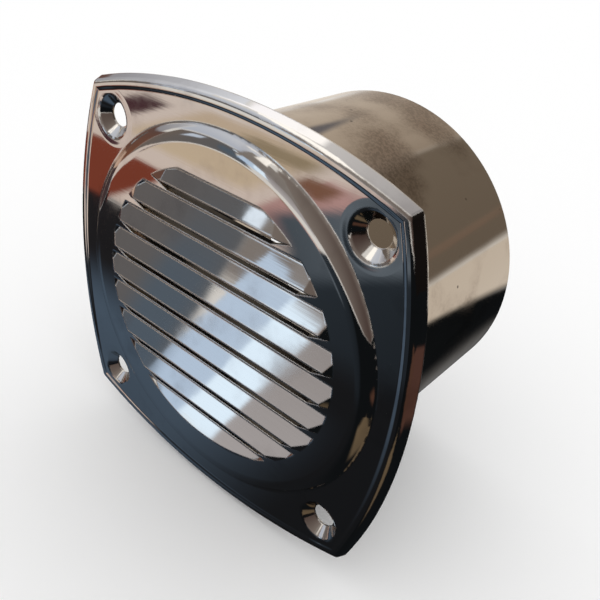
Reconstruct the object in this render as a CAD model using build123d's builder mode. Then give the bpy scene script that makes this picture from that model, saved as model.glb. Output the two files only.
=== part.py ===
from build123d import *
import os
from math import atan, cos, radians, sin, sqrt, tan

# Louvred hull vent of polished stainless steel with a hose tail, in millimetres.
# The face looks towards -Y, the tail points to +Y and +Z is up.
# The origin is on the tail's axis, in the mounting plane, where the skirt meets the wall.

# Tail tube, for a 3 inch hose
tail_diameter = 76.2
tail_wall = 1.0
tail_length = 55.0  # behind the mounting plane
tail_edge_break = 0.2  # chamfers of its open end
seat_gap = 0.05  # between the tube, the weld and the plate

# Sheet, skirt and rim of the face plate
sheet = 1.0
skirt_depth = 2.4  # from the mounting plane to the flat land
skirt_draft = 20.0  # degrees
skirt_edge_break = 0.25  # chamfer of its back edge
edge_radius = 1.2  # outside, of the bend at the front of the skirt and of the four corners
rim_rise = 0.3  # of the rim in front of the land
rim_width = 3.2  # from the outer edge to the land
rim_fall = 1.1  # width of the soft fall from the rim to the land

# Raised round disc in front of the tube
disc_rise = 1.6  # in front of the land
disc_inset = 1.3  # from the outside of the tube to the end of the disc's flat
disc_edge_width = 3.8  # of the soft step from the disc down to the land
disc_foot_radius = 0.8
outer_land = 3.0  # flat between the step and the rim, at the middle of a side
corner_land = 0.7  # flat between a countersink and the rim
inner_land = 4.8  # flat between the step and the louvres

# Screw holes for M5 or number 10 countersunk screws, in dimples that rest on the wall
screw_hole_diameter = 5.0
countersink_diameter = 9.2
countersink_angle = 90.0  # degrees
countersink_lip = 0.3  # chamfer round its mouth
hole_land = 1.9  # flat between the step and a countersink

# Louvres, pressed in along the top of each slat and out along its lower edge
slat_pitch = 7.1
slot_height = 1.7
slot_taper = 4.5  # length over which each end of a slot narrows
slot_end_margin = 0.4  # from the point of a slot to the foot of the ramp
crest_strip = 0.4  # flat strip between a slot and the slat below it
crest_radius = 0.5
valley_depth = 0.8
valley_angle = 60.0  # degrees from the land, of the wall above each valley and at its ends
valley_radius = 0.4  # at most, where the wall above is short
lip_rise = 1.2
lip_edge_radius = 0.45
ramp_angle = 30.0  # degrees from the land, of the ends of the lips
end_margin = 0.8  # least distance from the louvre circle to the first and last slats
first_slat_drop = 1.0  # by which the first slat is lower than the others

# Weld between the tube and the back of the plate
weld_lap = 0.3  # on the plate, beyond the foot of the step
weld_height = 2.2  # along the tube
weld_penetration = 0.5  # into the tube's wall

# Places that follow from the sizes
tail_radius = tail_diameter / 2
land_y = -skirt_depth
disc_y = land_y - disc_rise
disc_radius = tail_radius - disc_inset
step_angle = 2 * atan(disc_rise / disc_edge_width)
step_arc = disc_edge_width / sin(step_angle) - disc_foot_radius
step_centre_y = disc_y + step_arc
step_reach = disc_radius + disc_edge_width
side_reach = step_reach + outer_land + rim_width
hole_distance = step_reach + hole_land + countersink_diameter / 2
hole_spacing = 2 * hole_distance / sqrt(2)
louvre_radius = disc_radius - inner_land
slat_height = slat_pitch - slot_height - crest_strip
valley_run = valley_depth / tan(radians(valley_angle))
face_slope = (valley_depth + lip_rise) / (slat_height - valley_run)
slat_count = int((2 * (louvre_radius - end_margin) - slat_height) / slat_pitch) + 1
crest_heights = [((slat_count - 1) / 2 - n) * slat_pitch + slat_height / 2 for n in range(slat_count)]
lip_heights = [crest - slat_height for crest in crest_heights]
crest_heights[0] -= first_slat_drop
pick = 0.01  # tolerance for finding edges by their place

# Each side bows so that it keeps clear of the countersinks beside its ends
hole_reach = hole_spacing / 2
hole_margin = countersink_diameter / 2 + corner_land + rim_width
hole_drop = side_reach - hole_reach
bow_radius = (hole_reach**2 + hole_drop**2 - hole_margin**2) / (2 * (hole_drop - hole_margin))
bow_offset = bow_radius - side_reach
corner_reach = (sqrt(2 * bow_radius**2 - bow_offset**2) - bow_offset) / 2


def half_chord(radius, distance):
    return sqrt(radius**2 - distance**2)


def plate_outline(inset):
    # Square with four bowed sides, in the mounting plane, looking out of the face
    with BuildSketch(Plane.XZ) as outline:
        with BuildLine():
            ThreePointArc((-corner_reach, corner_reach), (0, side_reach), (corner_reach, corner_reach))
            ThreePointArc((corner_reach, corner_reach), (side_reach, 0), (corner_reach, -corner_reach))
            ThreePointArc((corner_reach, -corner_reach), (0, -side_reach), (-corner_reach, -corner_reach))
            ThreePointArc((-corner_reach, -corner_reach), (-side_reach, 0), (-corner_reach, corner_reach))
        make_face()
        if inset > 0:
            offset(amount=-inset, kind=Kind.INTERSECTION)
    return outline.sketch


def rim_hollow(depth):
    # Space inside the rim, in front of the land: what the bowed falls of the four sides share
    start = bow_radius - rim_width
    middle = (start + rim_fall / 2, depth - rim_rise / 2)
    end = (start + rim_fall, depth - rim_rise)
    with BuildPart() as hollow:
        with BuildSketch(Plane.XY):
            with BuildLine():
                TangentArc((start, depth), middle, tangent=(1, 0))
                TangentArc(end, middle, tangent=(-1, 0))
                Polyline(end, (0, depth - rim_rise), (0, depth), (start, depth))
            make_face()
        revolve(axis=Axis.Y)
    side = Pos(0, 0, -bow_offset) * hollow.part
    return side & (Rot(0, 90, 0) * side) & (Rot(0, 180, 0) * side) & (Rot(0, 270, 0) * side)


def step_corners(setback):
    # On the section of the disc's soft step: where its round edge meets its hollow foot, and the foot's end
    arc = step_arc - setback
    meet = (disc_radius + arc * sin(step_angle), step_centre_y - arc * cos(step_angle))
    return meet, (step_reach, land_y + setback)


def raised_disc(setback):
    # Disc in front of the land
    edge = (disc_radius, disc_y + setback)
    meet, end = step_corners(setback)
    with BuildPart() as disc:
        with BuildSketch(Plane.XY):
            with BuildLine():
                TangentArc(edge, meet, tangent=(1, 0))
                TangentArc(end, meet, tangent=(-1, 0))
                Polyline(end, (0, land_y + setback), (0, disc_y + setback), edge)
            make_face()
        revolve(axis=Axis.Y)
    return disc.part


def louvre_field(front_radius, front_y, back_radius, back_y):
    # Cone that holds the pressed slats and slopes at their ends
    with BuildPart() as field:
        with BuildSketch(Plane.XY):
            with BuildLine():
                Polyline((0, front_y), (front_radius, front_y), (back_radius, back_y), (0, back_y))
                Line((0, back_y), (0, front_y))
            make_face()
        revolve(axis=Axis.Y)
    return field.part


def slat_valleys(setback):
    # What is pressed in along the top of every slat, from its round crest down to its sloping face
    depth = disc_y + setback
    slope = radians(valley_angle)
    blend = crest_radius * tan(slope / 2)
    wall_shift = setback * tan(slope / 2)
    face = atan(face_slope)
    fold_slope = 1 / face_slope + 1 / tan(slope)
    fold_turn = tan((slope + face) / 2)
    with BuildPart() as valleys:
        with BuildSketch(Plane.YZ):
            for lip, crest in zip(lip_heights, crest_heights):
                wall_top = crest + wall_shift
                face_foot = lip + lip_rise / face_slope
                fold_depth = (wall_top - face_foot) / fold_slope
                wall_length = fold_depth / sin(slope) - blend
                reach = min(valley_radius * fold_turn, 0.9 * wall_length)
                with BuildLine():
                    top = (depth, wall_top + blend)
                    wall = (depth + blend * sin(slope), wall_top - blend * cos(slope))
                    fold = (depth + fold_depth, wall_top - fold_depth / tan(slope))
                    fold_start = (fold[0] - reach * sin(slope), fold[1] + reach * cos(slope))
                    fold_end = (fold[0] - reach * sin(face), fold[1] - reach * cos(face))
                    TangentArc(top, wall, tangent=(0, -1))
                    Line(wall, fold_start)
                    TangentArc(fold_start, fold_end, tangent=(sin(slope), -cos(slope)))
                    Polyline(fold_end, (depth, face_foot), top)
                make_face()
        extrude(amount=disc_radius, both=True)
    reach = louvre_radius + wall_shift
    end_depth = valley_depth + wall_shift / fold_slope
    return valleys.part & louvre_field(reach, depth, reach - end_depth / tan(slope), depth + end_depth)


def slat_lips(setback):
    # What is pressed out along the lower edge of every slat, in front of the disc
    depth = disc_y + setback
    front = depth - lip_rise
    ramp_run = lip_rise / tan(radians(ramp_angle))
    with BuildPart() as lips:
        with BuildSketch(Plane.YZ):
            for lip in lip_heights:
                start = lip + lip_rise / face_slope
                with BuildLine():
                    Polyline((depth, start), (front, lip), (depth, lip), close=True)
                make_face()
        extrude(amount=disc_radius, both=True)
    return lips.part & louvre_field(louvre_radius - ramp_run, front, louvre_radius, depth)


def pressing(setback):
    # Solid behind the plate's front skin, or behind its back skin with the sheet as setback
    depth = land_y + setback
    front = depth - rim_rise
    with BuildPart() as form:
        # Skirt, with its bend and corners rounded outside
        skirt_inset = setback / cos(radians(skirt_draft))
        extrude(plate_outline(skirt_inset), amount=-front, taper=skirt_draft)
        if setback == 0:
            fillet(form.edges().filter_by_position(Axis.Y, front - pick, -pick), edge_radius)

        # Land inside the rim
        add(rim_hollow(depth), mode=Mode.SUBTRACT)

        # Raised disc
        add(raised_disc(setback))

        # Dimples of the screw holes
        flare = tan(radians(countersink_angle / 2))
        mouth = countersink_diameter / 2 + setback * (sqrt(1 + flare**2) - flare)
        seat = (Align.CENTER, Align.CENTER, Align.MAX)
        with Locations(Plane.XZ.offset(-depth)):
            with GridLocations(hole_spacing, hole_spacing, 2, 2):
                Cone(0, mouth, mouth / flare, align=seat, mode=Mode.SUBTRACT)
        if setback == 0:
            chamfer(form.edges(Select.LAST).filter_by(GeomType.CIRCLE).group_by(Axis.Y)[0], countersink_lip)

        # Louvres
        add(slat_lips(setback))
        add(slat_valleys(setback), mode=Mode.SUBTRACT)
    return form.part


# Face plate, one sheet pressed to shape
with BuildPart() as face_plate:
    add(pressing(0))
    add(pressing(sheet), mode=Mode.SUBTRACT)

    # Slots under the lips
    with BuildSketch(Plane.XZ):
        for lip in lip_heights[:-1]:
            half = half_chord(louvre_radius, lip) - slot_end_margin
            with BuildLine():
                Polyline(
                    (-half, lip),
                    (slot_taper - half, lip - slot_height),
                    (half - slot_taper, lip - slot_height),
                    (half, lip),
                    close=True,
                )
            make_face()
    extrude(amount=skirt_depth + disc_rise + lip_rise, mode=Mode.SUBTRACT)

    # Screw holes through the dimples
    with BuildSketch(Plane.XZ):
        with GridLocations(hole_spacing, hole_spacing, 2, 2):
            Circle(screw_hole_diameter / 2)
    extrude(amount=skirt_depth, mode=Mode.SUBTRACT)

    # Polished edges of the lips and of the skirt
    lip_front = disc_y - lip_rise
    level_edges = face_plate.edges().filter_by(Axis.X)
    lip_edges = level_edges.filter_by_position(Axis.Y, lip_front - pick, lip_front + pick)
    fillet(lip_edges, lip_edge_radius)
    back = face_plate.faces().filter_by_position(Axis.Y, -pick, pick).sort_by(SortBy.AREA)[-1]
    chamfer(back.outer_wire().edges(), skirt_edge_break)

# Tail tube, with its front end against the back of the disc's step
seat_radius = tail_radius - weld_penetration
seat_arc = step_arc - sheet
tail_front = step_centre_y - half_chord(seat_arc, seat_radius - disc_radius) + seat_gap
weld_top_y = land_y + sheet + seat_gap + weld_height
with BuildPart() as tail_tube:
    with BuildSketch(Plane.XY):
        with BuildLine():
            Polyline(
                (tail_radius - tail_wall, tail_front),
                (seat_radius, tail_front),
                (seat_radius, weld_top_y + seat_gap),
                (tail_radius, weld_top_y + seat_gap),
                (tail_radius, tail_length),
                (tail_radius - tail_wall, tail_length),
                close=True,
            )
        make_face()
    revolve(axis=Axis.Y)
    chamfer(tail_tube.edges().filter_by(GeomType.CIRCLE).group_by(Axis.Y)[-1], tail_edge_break)

# Weld round the tube, against the back of the step and of the land
weld_arc = seat_arc - seat_gap
weld_inside = seat_radius + seat_gap
weld_meet, weld_foot = step_corners(sheet + seat_gap)
with BuildPart() as tube_weld:
    with BuildSketch(Plane.XY):
        with BuildLine():
            root = (weld_inside, step_centre_y - half_chord(weld_arc, weld_inside - disc_radius))
            RadiusArc(root, weld_meet, weld_arc)
            TangentArc(weld_foot, weld_meet, tangent=(-1, 0))
            Polyline(
                weld_foot,
                (weld_foot[0] + weld_lap, weld_foot[1]),
                (tail_radius, weld_top_y),
                (weld_inside, weld_top_y),
                root,
            )
        make_face()
    revolve(axis=Axis.Y)

face_plate.part.label = "face_plate"
tail_tube.part.label = "tail_tube"
tube_weld.part.label = "tube_weld"

os.makedirs("parts", exist_ok=True)
export_step(face_plate.part, "parts/face_plate.step")
export_step(tail_tube.part, "parts/tail_tube.step")
export_step(tube_weld.part, "parts/tube_weld.step")
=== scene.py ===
import math

import bpy
from mathutils import Matrix, Vector


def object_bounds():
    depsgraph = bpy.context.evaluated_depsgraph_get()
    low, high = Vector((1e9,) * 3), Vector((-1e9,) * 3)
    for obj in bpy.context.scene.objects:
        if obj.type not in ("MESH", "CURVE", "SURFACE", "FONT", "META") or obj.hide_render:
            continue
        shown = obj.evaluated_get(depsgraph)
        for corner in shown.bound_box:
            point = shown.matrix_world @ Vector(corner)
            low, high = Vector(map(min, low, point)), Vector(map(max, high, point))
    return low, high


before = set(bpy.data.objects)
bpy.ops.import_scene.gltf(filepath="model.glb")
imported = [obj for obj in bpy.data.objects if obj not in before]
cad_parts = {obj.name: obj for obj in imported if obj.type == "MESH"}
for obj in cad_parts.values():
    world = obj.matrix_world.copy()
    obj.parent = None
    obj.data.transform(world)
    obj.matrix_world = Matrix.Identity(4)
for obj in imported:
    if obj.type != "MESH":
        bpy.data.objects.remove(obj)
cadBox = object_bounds()
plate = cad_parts["face_plate"]
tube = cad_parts["tail_tube"]
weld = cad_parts["tube_weld"]
mm = 0.001
print("frame loaded")

# Camera, at the photo's angle and distance
cameraSettings = {
    "azimuth": 37.591,  # degrees, 0 looks along +Y
    "elevation": 30.536,
    "roll": 7.086,
    "place": (82.51, -87.70, 82.59),  # mm
    "lens": 41.487,  # mm
    "sensor": 36,  # mm
    "shift": (0.025, -0.0462),
    "nearest": 10,  # mm, of what it still shows
}


def addCamera(settings):
    azimuth = math.radians(settings["azimuth"])
    elevation = math.radians(settings["elevation"])
    roll = math.radians(settings["roll"])
    back = Vector((
        math.sin(azimuth) * math.cos(elevation),
        -math.cos(azimuth) * math.cos(elevation),
        math.sin(elevation),
    ))
    level = Vector((math.cos(azimuth), math.sin(azimuth), 0))
    upright = back.cross(level)
    right = math.cos(roll) * level + math.sin(roll) * upright
    up = math.cos(roll) * upright - math.sin(roll) * level
    data = bpy.data.cameras.new("camera")
    data.sensor_width = settings["sensor"]
    data.lens = settings["lens"]
    data.shift_x, data.shift_y = settings["shift"]
    data.clip_start = settings["nearest"] * mm
    camera = bpy.data.objects.new("camera", data)
    place = Vector(settings["place"]) * mm
    camera.matrix_world = Matrix((
        (right.x, up.x, back.x, place.x),
        (right.y, up.y, back.y, place.y),
        (right.z, up.z, back.z, place.z),
        (0, 0, 0, 1),
    ))
    bpy.context.collection.objects.link(camera)
    bpy.context.scene.camera = camera


addCamera(cameraSettings)
bpy.context.scene.view_settings.view_transform = "Standard"
print("camera placed")


# Colours are written as sRGB hex and turned linear
def hexColour(text):
    parts = [int(text[i:i + 2], 16) / 255 for i in (1, 3, 5)]
    linear = (c / 12.92 if c <= 0.04045 else ((c + 0.055) / 1.055) ** 2.4 for c in parts)
    return tuple(linear) + (1,)


# Adds one node, sets its values and links its inputs
def addNode(tree, kind, values=None, links=None, **settings):
    node = tree.nodes.new(kind)
    for name, value in settings.items():
        setattr(node, name, value)
    for name, value in (values or {}).items():
        node.inputs[name].default_value = value
    for name, source in (links or {}).items():
        tree.links.new(source, node.inputs[name])
    return node


def newMaterial(name):
    material = bpy.data.materials.new(name)
    material.use_nodes = True
    return material, material.node_tree, material.node_tree.nodes["Principled BSDF"]


def wearMaterial(piece, material):
    piece.data.materials.clear()
    piece.data.materials.append(material)


# Metal all through, with the colour, roughness and surface that the nodes before it work out
def wearMetal(piece, material, shader, colour, rough, normal):
    links = material.node_tree.links
    shader.inputs["Metallic"].default_value = 1
    links.new(colour, shader.inputs["Base Color"])
    links.new(rough, shader.inputs["Roughness"])
    links.new(normal, shader.inputs["Normal"])
    wearMaterial(piece, material)


# Stainless steel sheet, pressed and mirror polished:
# clear reflections that waver a little, thin haze and fine scratches
polishedSteel = {
    "colour": "#cfcac3",
    "hazeColour": "#b8b2ac",  # where wiping left a thin film
    "roughness": (0.035, 0.11),  # clear, hazed
    "hazeSize": 14,  # mm, of a cloudy patch
    "hazeDetail": 4,
    "hazeGrain": 0.6,  # how strongly the finer patches show
    "hazeRange": (0.48, 0.78),  # of the noise, from clear to hazed
    "foldRadius": 0.45,  # mm, of the softly pressed folds
    "foldSamples": 6,
    "holeReach": 33.3,  # mm, of each screw hole from both middle planes
    "shoulder": (4.6, 6.6),  # mm, inner and outer radius of the soft dip round a screw hole
    "shoulderDepth": 0.09,  # mm
    "bowRadius": 122.023,  # mm, of each side of the outline
    "bowOffset": 75.223,  # mm, of the bow's centre from the middle
    "rimWidth": 3.2,  # mm
    "rimFall": 1.1,  # mm, width of the rim's soft fall to the land
    "rimRise": 0.3,  # mm
    "fallMargin": 0.5,  # mm, to each side of the fall
    "sheetBack": -1.3,  # mm, a little behind the back of the land
    "waveSize": 9,  # mm, of the unevenness that pressing leaves
    "waveHeight": 0.012,  # mm
    "waveDetail": 1,
    "lineSpacing": 0.4,  # mm, of the polishing lines along the slats
    "lineLength": 16,  # mm
    "lineHeight": 0.0009,  # mm
    "lineDetail": 1,
    "lineRange": (0.3, 0.62),  # of the noise, from rubbed to clear
    "lineHaze": 0.1,  # share of the haze colour between the lines, and off the slats
    "louvreRadius": 32,  # mm, of the round field of slats
    "louvreFade": 1,  # mm, over which the lines end
    "scratchSize": 9,  # mm
    "scratchStretch": 22,
    "scratchTurn": 28,  # degrees
    "scratchDetail": 3,
    "scratchHeight": 0.0012,  # mm
}
material, tree, shader = newMaterial("polishedSteel")
place = addNode(tree, "ShaderNodeTexCoord").outputs["Object"]
clouds = addNode(tree, "ShaderNodeTexNoise", {
    "Scale": 1 / (polishedSteel["hazeSize"] * mm),
    "Detail": polishedSteel["hazeDetail"],
    "Roughness": polishedSteel["hazeGrain"],
}, {"Vector": place}).outputs["Fac"]
clear, hazed = polishedSteel["hazeRange"]
haze = addNode(tree, "ShaderNodeMapRange", {"From Min": clear, "From Max": hazed},
               {"Value": clouds}, interpolation_type="SMOOTHSTEP").outputs["Result"]
clear, dull = polishedSteel["roughness"]
rough = addNode(tree, "ShaderNodeMapRange", {"To Min": clear, "To Max": dull},
                {"Value": haze}).outputs["Result"]

# Soft folds, and the distance from the nearest screw hole
folds = addNode(tree, "ShaderNodeBevel", {"Radius": polishedSteel["foldRadius"] * mm},
                samples=polishedSteel["foldSamples"]).outputs["Normal"]
flat = addNode(tree, "ShaderNodeMapping", {"Scale": (1, 0, 1)}, {"Vector": place}).outputs[0]
quarter = addNode(tree, "ShaderNodeVectorMath", links={0: flat}, operation="ABSOLUTE").outputs[0]
holeReach = polishedSteel["holeReach"] * mm
fromHole = addNode(tree, "ShaderNodeVectorMath", {1: (holeReach, 0, holeReach)}, {0: quarter},
                   operation="DISTANCE").outputs["Value"]

# The rim's fall is shaded from its own section, on both sides of the sheet,
# because the facets there are narrower than a reflection
sides = addNode(tree, "ShaderNodeSeparateXYZ", links={"Vector": quarter})
fromMiddle = addNode(tree, "ShaderNodeMath", links={0: sides.outputs["X"], 1: sides.outputs["Z"]},
                     operation="MAXIMUM").outputs[0]
alongSide = addNode(tree, "ShaderNodeMath", links={0: sides.outputs["X"], 1: sides.outputs["Z"]},
                    operation="MINIMUM").outputs[0]
outwards = addNode(tree, "ShaderNodeMath", {1: polishedSteel["bowOffset"] * mm},
                   {0: fromMiddle}, operation="ADD").outputs[0]
bowPlace = addNode(tree, "ShaderNodeCombineXYZ", links={"X": alongSide, "Z": outwards}).outputs[0]
bowReach = addNode(tree, "ShaderNodeVectorMath", links={0: bowPlace},
                   operation="LENGTH").outputs["Value"]
fallStart = (polishedSteel["bowRadius"] - polishedSteel["rimWidth"]) * mm
fallEnd = fallStart + polishedSteel["rimFall"] * mm
fallRise = addNode(tree, "ShaderNodeMapRange", {
    "From Min": fallStart,
    "From Max": fallEnd,
    "To Max": polishedSteel["rimRise"] * mm,
}, {"Value": bowReach}, interpolation_type="SMOOTHSTEP").outputs["Result"]
facing = addNode(tree, "ShaderNodeNewGeometry").outputs["True Normal"]
facingY = addNode(tree, "ShaderNodeSeparateXYZ", links={"Vector": facing}).outputs["Y"]
backOrFront = addNode(tree, "ShaderNodeMath", links={0: facingY}, operation="SIGN").outputs[0]
downOrUp = addNode(tree, "ShaderNodeMath", {1: -1}, {0: backOrFront},
                   operation="MULTIPLY").outputs[0]
fallHeight = addNode(tree, "ShaderNodeMath", links={0: fallRise, 1: downOrUp},
                     operation="MULTIPLY").outputs[0]
outOfSheet = addNode(tree, "ShaderNodeCombineXYZ", links={"Y": backOrFront}).outputs[0]
fallNormal = addNode(tree, "ShaderNodeBump", {"Strength": 1, "Distance": 1},
                     {"Height": fallHeight, "Normal": outOfSheet}).outputs["Normal"]
margin = polishedSteel["fallMargin"] * mm
pastStart = addNode(tree, "ShaderNodeMath", {1: fallStart - margin}, {0: bowReach},
                    operation="GREATER_THAN").outputs[0]
beforeEnd = addNode(tree, "ShaderNodeMath", {1: fallEnd + margin}, {0: bowReach},
                    operation="LESS_THAN").outputs[0]
depth = addNode(tree, "ShaderNodeSeparateXYZ", links={"Vector": place}).outputs["Y"]
onSheet = addNode(tree, "ShaderNodeMath", {1: polishedSteel["sheetBack"] * mm}, {0: depth},
                  operation="LESS_THAN").outputs[0]
inBand = addNode(tree, "ShaderNodeMath", links={0: pastStart, 1: beforeEnd},
                 operation="MULTIPLY").outputs[0]
onFall = addNode(tree, "ShaderNodeMath", links={0: inBand, 1: onSheet},
                 operation="MULTIPLY").outputs[0]
pressed = addNode(tree, "ShaderNodeMix", links={"Factor": onFall, "A": folds, "B": fallNormal},
                  data_type="VECTOR").outputs["Result"]

# The dip round each screw hole and the unevenness of the sheet
inner, outer = polishedSteel["shoulder"]
shoulder = addNode(tree, "ShaderNodeMapRange", {"From Min": inner * mm, "From Max": outer * mm},
                   {"Value": fromHole}, interpolation_type="SMOOTHSTEP").outputs["Result"]
dips = addNode(tree, "ShaderNodeBump",
               {"Strength": 1, "Distance": polishedSteel["shoulderDepth"] * mm},
               {"Height": shoulder, "Normal": pressed}).outputs["Normal"]
waves = addNode(tree, "ShaderNodeTexNoise", {
    "Scale": 1 / (polishedSteel["waveSize"] * mm),
    "Detail": polishedSteel["waveDetail"],
}, {"Vector": place}).outputs["Fac"]
wavy = addNode(tree, "ShaderNodeBump",
               {"Strength": 1, "Distance": polishedSteel["waveHeight"] * mm},
               {"Height": waves, "Normal": dips}).outputs["Normal"]

# Polishing lines along the slats only
stretch = polishedSteel["lineLength"] / polishedSteel["lineSpacing"]
alongSlats = addNode(tree, "ShaderNodeMapping", {"Scale": (1 / stretch, 1, 1)},
                     {"Vector": place}).outputs[0]
lines = addNode(tree, "ShaderNodeTexNoise", {
    "Scale": 1 / (polishedSteel["lineSpacing"] * mm),
    "Detail": polishedSteel["lineDetail"],
}, {"Vector": alongSlats}).outputs["Fac"]
fromAxis = addNode(tree, "ShaderNodeVectorMath", links={0: flat},
                   operation="LENGTH").outputs["Value"]
fieldEdge = polishedSteel["louvreRadius"]
fieldInside = fieldEdge - polishedSteel["louvreFade"]
onSlats = addNode(tree, "ShaderNodeMapRange",
                  {"From Min": fieldEdge * mm, "From Max": fieldInside * mm},
                  {"Value": fromAxis}).outputs["Result"]
lineHeight = addNode(tree, "ShaderNodeMath", links={0: lines, 1: onSlats},
                     operation="MULTIPLY").outputs[0]
lined = addNode(tree, "ShaderNodeBump",
                {"Strength": 1, "Distance": polishedSteel["lineHeight"] * mm},
                {"Height": lineHeight, "Normal": wavy}).outputs["Normal"]
rubbedBelow, clearAbove = polishedSteel["lineRange"]
rubbed = addNode(tree, "ShaderNodeMapRange", {
    "From Min": rubbedBelow,
    "From Max": clearAbove,
    "To Min": polishedSteel["lineHaze"],
    "To Max": 0,
}, {"Value": lineHeight}).outputs["Result"]
worn = addNode(tree, "ShaderNodeMath", links={0: haze, 1: rubbed}, operation="MAXIMUM").outputs[0]
tint = addNode(tree, "ShaderNodeMix", {
    "A": hexColour(polishedSteel["colour"]),
    "B": hexColour(polishedSteel["hazeColour"]),
}, {"Factor": worn}, data_type="RGBA").outputs["Result"]

# Fine scratches all over
rub = addNode(tree, "ShaderNodeMapping", {
    "Rotation": (0, math.radians(polishedSteel["scratchTurn"]), 0),
    "Scale": (1, 1, polishedSteel["scratchStretch"]),
}, {"Vector": place}).outputs[0]
scratches = addNode(tree, "ShaderNodeTexNoise", {
    "Scale": 1 / (polishedSteel["scratchSize"] * mm),
    "Detail": polishedSteel["scratchDetail"],
}, {"Vector": rub}).outputs["Fac"]
scratched = addNode(tree, "ShaderNodeBump",
                    {"Strength": 1, "Distance": polishedSteel["scratchHeight"] * mm},
                    {"Height": scratches, "Normal": lined}).outputs["Normal"]
wearMetal(plate, material, shader, tint, rough, scratched)

# Stainless steel tube, cold rolled and drawn:
# clear but grainy reflections, faint draw lines, a few nicks
rolledSteel = {
    "colour": "#c4baad",
    "stainColour": "#9a8b7d",  # of thin brown stains
    "grainColour": "#6f6558",  # in the pits of the grain
    "nickColour": "#5a5046",
    "tintColour": "#b39468",  # straw heat tint beside the weld
    "tintReach": 7,  # mm behind the mounting plane
    "tintShare": 0.7,
    "roughness": (0.07, 0.2),  # clear, grainy
    "patchSize": 22,  # mm, of the patches that are grainier
    "patchDetail": 3,
    "patchRange": (0.42, 0.66),  # of the noise, from clear to grainy
    "grainSize": 0.7,  # mm, coarser than the real one so that it shows
    "grainDetail": 2,
    "grainHeight": 0.011,  # mm
    "pitRange": (0.56, 0.42),  # of the grain, from bright to darkest
    "pitShare": 0.5,
    "dentSize": 12,  # mm round the tube, of its slight unevenness, which runs lengthwise
    "dentStretch": 0.3,
    "dentDetail": 2,
    "dentHeight": 0.09,  # mm
    "lineSpacing": 0.6,  # mm, of the draw lines
    "lineStretch": 0.03,
    "lineDetail": 1,
    "lineHeight": 0.0012,  # mm
    "nickSpacing": 6,  # mm
    "nickEdge": (0.03, 0.07),  # share of the spacing, from the bottom to the rim of a nick
    "nickHeight": 0.01,  # mm
}
material, tree, shader = newMaterial("rolledSteel")
place = addNode(tree, "ShaderNodeTexCoord").outputs["Object"]
patches = addNode(tree, "ShaderNodeTexNoise", {
    "Scale": 1 / (rolledSteel["patchSize"] * mm),
    "Detail": rolledSteel["patchDetail"],
}, {"Vector": place}).outputs["Fac"]
clear, dull = rolledSteel["patchRange"]
grainy = addNode(tree, "ShaderNodeMapRange", {"From Min": clear, "From Max": dull},
                 {"Value": patches}, interpolation_type="SMOOTHSTEP").outputs["Result"]
clear, dull = rolledSteel["roughness"]
rough = addNode(tree, "ShaderNodeMapRange", {"To Min": clear, "To Max": dull},
                {"Value": grainy}).outputs["Result"]

# Colour: stains, pits of the grain, nicks and the heat tint
stained = addNode(tree, "ShaderNodeMix", {
    "A": hexColour(rolledSteel["colour"]),
    "B": hexColour(rolledSteel["stainColour"]),
}, {"Factor": grainy}, data_type="RGBA").outputs["Result"]
grain = addNode(tree, "ShaderNodeTexNoise", {
    "Scale": 1 / (rolledSteel["grainSize"] * mm),
    "Detail": rolledSteel["grainDetail"],
}, {"Vector": place}).outputs["Fac"]
bright, darkest = rolledSteel["pitRange"]
pits = addNode(tree, "ShaderNodeMapRange",
               {"From Min": bright, "From Max": darkest, "To Max": rolledSteel["pitShare"]},
               {"Value": grain}).outputs["Result"]
pitted = addNode(tree, "ShaderNodeMath", links={0: pits, 1: grainy},
                 operation="MULTIPLY").outputs[0]
mottled = addNode(tree, "ShaderNodeMix", {"B": hexColour(rolledSteel["grainColour"])},
                  {"Factor": pitted, "A": stained}, data_type="RGBA").outputs["Result"]
spots = addNode(tree, "ShaderNodeTexVoronoi", {"Scale": 1 / (rolledSteel["nickSpacing"] * mm)},
                {"Vector": place}).outputs["Distance"]
bottom, edge = rolledSteel["nickEdge"]
nicks = addNode(tree, "ShaderNodeMapRange", {"From Min": bottom, "From Max": edge},
                {"Value": spots}).outputs["Result"]
marked = addNode(tree, "ShaderNodeMix", {"A": hexColour(rolledSteel["nickColour"])},
                 {"Factor": nicks, "B": mottled}, data_type="RGBA").outputs["Result"]
depth = addNode(tree, "ShaderNodeSeparateXYZ", links={"Vector": place}).outputs["Y"]
nearWeld = addNode(tree, "ShaderNodeMapRange", {
    "From Min": rolledSteel["tintReach"] * mm,
    "From Max": 0,
    "To Max": rolledSteel["tintShare"],
}, {"Value": depth}, interpolation_type="SMOOTHSTEP").outputs["Result"]
tint = addNode(tree, "ShaderNodeMix", {"B": hexColour(rolledSteel["tintColour"])},
               {"Factor": nearWeld, "A": marked}, data_type="RGBA").outputs["Result"]

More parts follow.
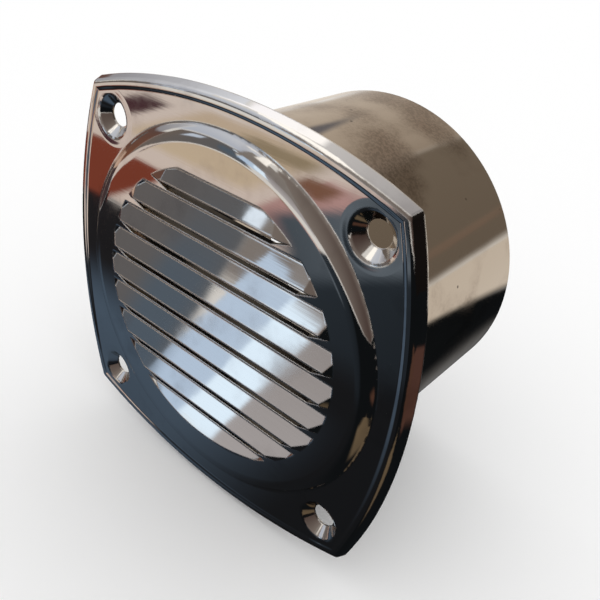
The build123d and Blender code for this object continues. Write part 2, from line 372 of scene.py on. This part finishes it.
# Surface: unevenness, draw lines, grain and nicks
longWays = addNode(tree, "ShaderNodeMapping", {"Scale": (1, rolledSteel["dentStretch"], 1)},
                   {"Vector": place}).outputs[0]
dents = addNode(tree, "ShaderNodeTexNoise", {
    "Scale": 1 / (rolledSteel["dentSize"] * mm),
    "Detail": rolledSteel["dentDetail"],
}, {"Vector": longWays}).outputs["Fac"]
uneven = addNode(tree, "ShaderNodeBump",
                 {"Strength": 1, "Distance": rolledSteel["dentHeight"] * mm},
                 {"Height": dents}).outputs["Normal"]
along = addNode(tree, "ShaderNodeMapping", {"Scale": (1, rolledSteel["lineStretch"], 1)},
                {"Vector": place}).outputs[0]
drawLines = addNode(tree, "ShaderNodeTexNoise", {
    "Scale": 1 / (rolledSteel["lineSpacing"] * mm),
    "Detail": rolledSteel["lineDetail"],
}, {"Vector": along}).outputs["Fac"]
drawn = addNode(tree, "ShaderNodeBump",
                {"Strength": 1, "Distance": rolledSteel["lineHeight"] * mm},
                {"Height": drawLines, "Normal": uneven}).outputs["Normal"]
grainHeight = addNode(tree, "ShaderNodeMath", links={0: grain, 1: grainy},
                      operation="MULTIPLY").outputs[0]
grained = addNode(tree, "ShaderNodeBump",
                  {"Strength": 1, "Distance": rolledSteel["grainHeight"] * mm},
                  {"Height": grainHeight, "Normal": drawn}).outputs["Normal"]
nicked = addNode(tree, "ShaderNodeBump",
                 {"Strength": 1, "Distance": rolledSteel["nickHeight"] * mm},
                 {"Height": nicks, "Normal": grained}).outputs["Normal"]
wearMetal(tube, material, shader, tint, rough, nicked)

# Stainless steel weld, left as welded: satin, rippled, with straw and blue heat tints
weldedSteel = {
    "colours": ("#8f8da0", "#b59a72", "#a8a096"),  # blue, straw and bare steel
    "tintDepths": (-1.4, 0.9),  # mm, from the blue at the plate to the bare steel on the tube
    "strawPlace": 0.45,  # share of the way between them
    "roughness": (0.28, 0.5),
    "rippleCount": 110,  # one about every 2.2 mm round the tube
    "rippleHeight": 0.06,  # mm
    "wobbleSize": 4,  # mm, over which the ripples come closer and wider
    "wobbleDetail": 2,
    "wobble": 9,  # radians of ripple
    "grainSize": 0.5,  # mm
    "grainDetail": 3,
    "grainHeight": 0.02,  # mm
}
material, tree, shader = newMaterial("weldedSteel")
place = addNode(tree, "ShaderNodeTexCoord").outputs["Object"]
split = addNode(tree, "ShaderNodeSeparateXYZ", links={"Vector": place})
roundTube = addNode(tree, "ShaderNodeMath", links={0: split.outputs["Z"], 1: split.outputs["X"]},
                    operation="ARCTAN2").outputs[0]
phase = addNode(tree, "ShaderNodeMath", {1: weldedSteel["rippleCount"]}, {0: roundTube},
                operation="MULTIPLY").outputs[0]
unsteady = addNode(tree, "ShaderNodeTexNoise", {
    "Scale": 1 / (weldedSteel["wobbleSize"] * mm),
    "Detail": weldedSteel["wobbleDetail"],
}, {"Vector": place}).outputs["Fac"]
late = addNode(tree, "ShaderNodeMath", {1: weldedSteel["wobble"]}, {0: unsteady, 2: phase},
               operation="MULTIPLY_ADD").outputs[0]
ripples = addNode(tree, "ShaderNodeMath", links={0: late}, operation="SINE").outputs[0]
grain = addNode(tree, "ShaderNodeTexNoise", {
    "Scale": 1 / (weldedSteel["grainSize"] * mm),
    "Detail": weldedSteel["grainDetail"],
}, {"Vector": place}).outputs["Fac"]
rippled = addNode(tree, "ShaderNodeBump",
                  {"Strength": 1, "Distance": weldedSteel["rippleHeight"] * mm},
                  {"Height": ripples}).outputs["Normal"]
grained = addNode(tree, "ShaderNodeBump",
                  {"Strength": 1, "Distance": weldedSteel["grainHeight"] * mm},
                  {"Height": grain, "Normal": rippled}).outputs["Normal"]
atPlate, onTube = weldedSteel["tintDepths"]
fromPlate = addNode(tree, "ShaderNodeMapRange",
                    {"From Min": atPlate * mm, "From Max": onTube * mm},
                    {"Value": split.outputs["Y"]}).outputs["Result"]
blue, straw, bare = (hexColour(text) for text in weldedSteel["colours"])
ramp = addNode(tree, "ShaderNodeValToRGB", links={"Fac": fromPlate})
ramp.color_ramp.elements[0].color = blue
ramp.color_ramp.elements[1].color = bare
ramp.color_ramp.elements.new(weldedSteel["strawPlace"]).color = straw
clear, dull = weldedSteel["roughness"]
rough = addNode(tree, "ShaderNodeMapRange", {"To Min": clear, "To Max": dull},
                {"Value": grain}).outputs["Result"]
wearMetal(weld, material, shader, ramp.outputs["Color"], rough, grained)
print("materials made")

# Plain pale floor just under the object, which the steel doesn't mirror
floorSettings = {
    "size": 6,  # m
    "drop": 0.2,  # mm, below the lowest point
    "colour": "#ffffff",
    "roughness": 0.9,
}
floorHeight = cadBox[0][2] - floorSettings["drop"] * mm
bpy.ops.object.select_all(action="DESELECT")
bpy.ops.mesh.primitive_plane_add(size=floorSettings["size"], location=(0, 0, floorHeight))
floor = bpy.context.object
floor.name = "floor"
material, tree, shader = newMaterial("paleFloor")
shader.inputs["Base Color"].default_value = hexColour(floorSettings["colour"])
shader.inputs["Roughness"].default_value = floorSettings["roughness"]
shader.inputs["Specular IOR Level"].default_value = 0
wearMaterial(floor, material)
floor.visible_glossy = False

# World: a plain white tent
world = bpy.data.worlds.new("studio")
world.use_nodes = True
bpy.context.scene.world = world
background = world.node_tree.nodes["Background"]
background.inputs["Color"].default_value = hexColour("#ffffff")
background.inputs["Strength"].default_value = 1

# Soft boards and cards round the object, which only the steel mirrors, as it would a room and a
# table. A board stands far off, at its azimuths (0 is out of the face, positive to the right) and
# between the elevations of its bottom and top, in degrees. A card lies flat, from its left near to
# its right far corner, in mm.
# height: mm, for a card that isn't on the table
# level: mm that a card is lifted, or m that a board stands nearer, so that no two share a plane
# tilt: degrees that a board leans sideways; turn: degrees that a card is turned
# soft: share of its width and of its length over which each edge fades out
# colours: from bottom to top, or near to far; with across, along its width instead
farReach = 6  # m
cardHeight = -60  # mm
boards = {
    "windowBlue": {
        "azimuths": (-36.1, -31.2), "elevations": (-8, 10.4), "tilt": 12,
        "colours": ("#c6dfff", "#cbe2ff"), "strength": 1.2, "soft": 0.05,
    },
    "windowWhite": {
        "azimuths": (-31.9, -28), "elevations": (-7, 8.6), "level": 0.1, "tilt": 12,
        "colours": ("#d5eaff", "#d5eaff"), "strength": 1.75, "soft": 0.13,
    },
    "windowTop": {
        "azimuths": (-37.6, -35.8), "elevations": (10.4, 12.8), "level": 0.3,
        "colours": ("#dcecff", "#dcecff"), "strength": 1.6, "soft": 0.1,
    },
    "windowLeft": {
        "azimuths": (-55.5, -47), "elevations": (2, 13), "level": 0.3,
        "colours": ("#d3e2fa", "#dceaff"), "strength": 1.1, "soft": 0.25,
    },
    "paleWall": {
        "azimuths": (-31.5, -16), "elevations": (-12, 9), "level": -0.1,
        "colours": ("#d2d0d6", "#aaa6a8"), "soft": 0.06,
    },
    "greyTop": {
        "azimuths": (-31.9, -22), "elevations": (8.6, 14.5), "level": 0.2,
        "colours": ("#a29e9e", "#a29e9e"), "soft": 0.1,
    },
    "greyWall": {
        "azimuths": (-38, -10), "elevations": (5, 42), "level": -0.2,
        "colours": ("#96908e", "#a09a96"), "soft": 0.06,
    },
    "dimWall": {
        "azimuths": (-66, -36), "elevations": (-14, 17),
        "colours": ("#80756f", "#6d7076"), "across": True, "soft": 0.03,
    },
    "dimBlue": {
        "azimuths": (-42.5, -35.6), "elevations": (-14, 13), "level": 0.05,
        "colours": ("#5c7086", "#66707c"), "soft": 0.35,
    },
    "dimLow": {
        "azimuths": (-41, -35.1), "elevations": (-9, -3.8), "level": 0.3,
        "colours": ("#66727f", "#66727f"), "soft": 0.15,
    },
    "skylight": {
        "azimuths": (-74, -27), "elevations": (15, 60), "level": -0.1,
        "colours": ("#bcc6da", "#f4f8ff"), "strength": 1.2, "soft": 0.1,
    },
    "leftWall": {
        "azimuths": (-128, -62), "elevations": (-14, 11), "level": -0.1,
        "colours": ("#8a5a44", "#6b5550"), "soft": 0.1,
    },
    "leftGlow": {
        "azimuths": (-140, -70), "elevations": (7, 48), "level": -0.2,
        "colours": ("#8a898f", "#ebf2ff"), "strength": 1.3, "soft": 0.06,
    },
    "skyLamp": {
        "azimuths": (-145, -90), "elevations": (46, 67), "level": -0.1,
        "colours": ("#f4f6ff", "#ffffff"), "strength": 1.7, "soft": 0.06,
    },
    "roofLamp": {
        "corners": ((-4150, -4900), (-1300, 100)), "height": 5950,
        "colours": ("#fdfbf8", "#ffffff"), "strength": 1.7, "soft": 0.06,
    },
    "stripLamp": {
        "azimuths": (-31, -23), "elevations": (27, 55), "level": 0.4,
        "colours": ("#fdfbf8", "#ffffff"), "strength": 1.6, "soft": 0.15,
    },
    "backLeft": {
        "azimuths": (-152, -127), "elevations": (22, 38),
        "colours": ("#74747c", "#8d8e96"), "soft": 0.15,
    },
    "rightWall": {
        "azimuths": (-20, 58), "elevations": (-12, 55), "level": -0.3,
        "colours": ("#968d88", "#4a3834"), "across": True, "soft": 0.05,
    },
    "rightCorner": {
        "azimuths": (50, 132), "elevations": (-30, 60),
        "colours": ("#121010", "#2b2624"), "soft": 0.05,
    },
    "backWall": {
        "azimuths": (130, 180), "elevations": (-4, 44),
        "colours": ("#7a7066", "#8a8074"), "soft": 0.08,
    },
    "backLight": {
        "azimuths": (174, 232), "elevations": (-4, 46), "level": -0.1,
        "colours": ("#aca094", "#e6dbce"), "across": True, "soft": 0.12,
    },
    "backStreak": {
        "azimuths": (140, 156), "elevations": (6, 11), "level": 0.1,
        "colours": ("#857468", "#8e7d70"), "soft": 0.4,
    },
    "backSill": {
        "azimuths": (128, 232), "elevations": (-25, -3.5), "level": 0.1,
        "colours": ("#efe7dd", "#efe7dd"), "soft": 0.02,
    },
    "ceiling": {
        "corners": ((-2350, -3000), (3000, 3600)), "height": 6000,
        "colours": ("#f2f2f6", "#8a888e"), "across": True, "soft": 0.05,
    },
    "table": {
        "corners": ((-216, -100), (80, 206)),
        "colours": ("#2b2a2d", "#181b1f"), "across": True, "soft": 0.02,
    },
    "tableRight": {
        "corners": ((24, -420), (460, 206)), "level": 0.15,
        "colours": ("#14171a", "#14171a"), "soft": 0.05,
    },
    "tableFront": {
        "corners": ((-76, -420), (60, -70)), "level": 0.1,
        "colours": ("#353e48", "#191d22"), "across": True, "soft": 0.06,
    },
    "tableGlow": {
        "corners": ((-150, -64), (14, 30)), "level": 0.2,
        "colours": ("#5d7188", "#3a4450"), "soft": 0.3,
    },
    "backSheen": {
        "corners": ((-60, 60), (60, 150)), "level": 0.25,
        "colours": ("#6c6c6c", "#686868"), "soft": 0.25,
    },
    "brownCloth": {
        "corners": ((108, -90), (225, 90)), "level": 0.3,
        "colours": ("#5a4034", "#5c403a"), "soft": 0.12,
    },
    "goldCloth": {
        "corners": ((50, -62), (94, -14)), "level": 0.4,
        "colours": ("#7a6a54", "#6a5c4a"), "soft": 0.2,
    },
    "cloth": {
        "corners": ((-420, -232), (-60, -96)), "level": -0.1,
        "colours": ("#f0e4de", "#efdfd8"), "soft": 0.03,
    },
    "plum": {
        "corners": ((-284, -214), (-244, -168)), "level": 0.2,
        "colours": ("#4a2f38", "#5a3c42"), "soft": 0.28,
    },
    "wood": {
        "corners": ((-240, -228), (-120, -150)), "level": 0.2,
        "colours": ("#dbc8b3", "#e5d2b8"), "soft": 0.15,
    },
    "woodDark": {
        "corners": ((-196, -216), (-112, -192)), "level": 0.3,
        "colours": ("#a8987f", "#a8987f"), "soft": 0.3,
    },
    "pinkCloth": {
        "corners": ((-118, -205), (-66, -124)), "level": 0.3,
        "colours": ("#d3adac", "#c49a98"), "soft": 0.15,
    },
    "rustCloth": {
        "corners": ((-128, -198), (-92, -168)), "level": 0.4,
        "colours": ("#8d6654", "#8d6654"), "soft": 0.3,
    },
    "blueGrey": {
        "corners": ((-104, -184), (-26, -114)), "level": 0.5, "turn": 38,
        "colours": ("#76828f", "#4a545f"), "soft": 0.22,
    },
    "brick": {
        "corners": ((-250, -140), (-158, -90)), "level": 0.3,
        "colours": ("#8c4838", "#8c4838"), "soft": 0.1,
    },
    "leather": {
        "corners": ((-400, -96), (-205, 200)),
        "colours": ("#4a3f43", "#5c413a"), "soft": 0.04,
    },
    "rug": {
        "corners": ((-800, -110), (-300, 240)), "level": -0.2,
        "colours": ("#d9b8a4", "#d9b8a4"), "soft": 0.04,
    },
}


def addBoard(name, settings):
    bpy.ops.object.select_all(action="DESELECT")
    bpy.ops.mesh.primitive_plane_add(size=1)
    board = bpy.context.object
    board.name = name
    level = settings.get("level", 0)
    if "corners" in settings:
        (left, near), (right, far) = settings["corners"]
        height = settings.get("height", cardHeight + level)
        board.scale = ((right - left) * mm, (far - near) * mm, 1)
        board.location = ((left + right) / 2 * mm, (near + far) / 2 * mm, height * mm)
        board.rotation_euler = (0, 0, math.radians(settings.get("turn", 0)))
    else:
        first, last = (math.radians(a) for a in settings["azimuths"])
        low, high = (farReach * math.tan(math.radians(e)) for e in settings["elevations"])
        middle = (first + last) / 2
        reach = farReach - level
        tilt = math.radians(settings.get("tilt", 0))
        board.scale = (2 * farReach * math.tan((last - first) / 2), high - low, 1)
        board.location = (math.sin(middle) * reach, -math.cos(middle) * reach, (low + high) / 2)
        board.rotation_euler = (math.radians(90), tilt, middle)
    board.visible_camera = False
    board.visible_diffuse = False
    board.visible_shadow = False

    # It glows, and fades out towards its edges, which lie half its size from its middle
    material = bpy.data.materials.new(name)
    material.use_nodes = True
    tree = material.node_tree
    tree.nodes.clear()
    place = addNode(tree, "ShaderNodeTexCoord").outputs["Object"]
    split = addNode(tree, "ShaderNodeSeparateXYZ", links={"Vector": place})
    fades = []
    for axis in ("X", "Y"):
        away = addNode(tree, "ShaderNodeMath", links={0: split.outputs[axis]},
                       operation="ABSOLUTE").outputs[0]
        fades.append(addNode(tree, "ShaderNodeMapRange",
                             {"From Min": 0.5, "From Max": 0.5 - settings["soft"]},
                             {"Value": away}, interpolation_type="SMOOTHSTEP").outputs["Result"])
    fade = addNode(tree, "ShaderNodeMath", links={0: fades[0], 1: fades[1]},
                   operation="MULTIPLY").outputs[0]
    along = split.outputs["X" if settings.get("across") else "Y"]
    rise = addNode(tree, "ShaderNodeMapRange", {"From Min": -0.5, "From Max": 0.5},
                   {"Value": along}).outputs["Result"]
    firstColour, lastColour = (hexColour(text) for text in settings["colours"])
    tint = addNode(tree, "ShaderNodeMix", {"A": firstColour, "B": lastColour},
                   {"Factor": rise}, data_type="RGBA").outputs["Result"]
    glow = addNode(tree, "ShaderNodeEmission", {"Strength": settings.get("strength", 1)},
                   {"Color": tint}).outputs[0]
    clear = addNode(tree, "ShaderNodeBsdfTransparent").outputs[0]
    mix = addNode(tree, "ShaderNodeMixShader", links={"Fac": fade, 1: clear, 2: glow}).outputs[0]
    addNode(tree, "ShaderNodeOutputMaterial", links={"Surface": mix})
    wearMaterial(board, material)


for boardName, boardSettings in boards.items():
    addBoard(boardName, boardSettings)
print("stage set")
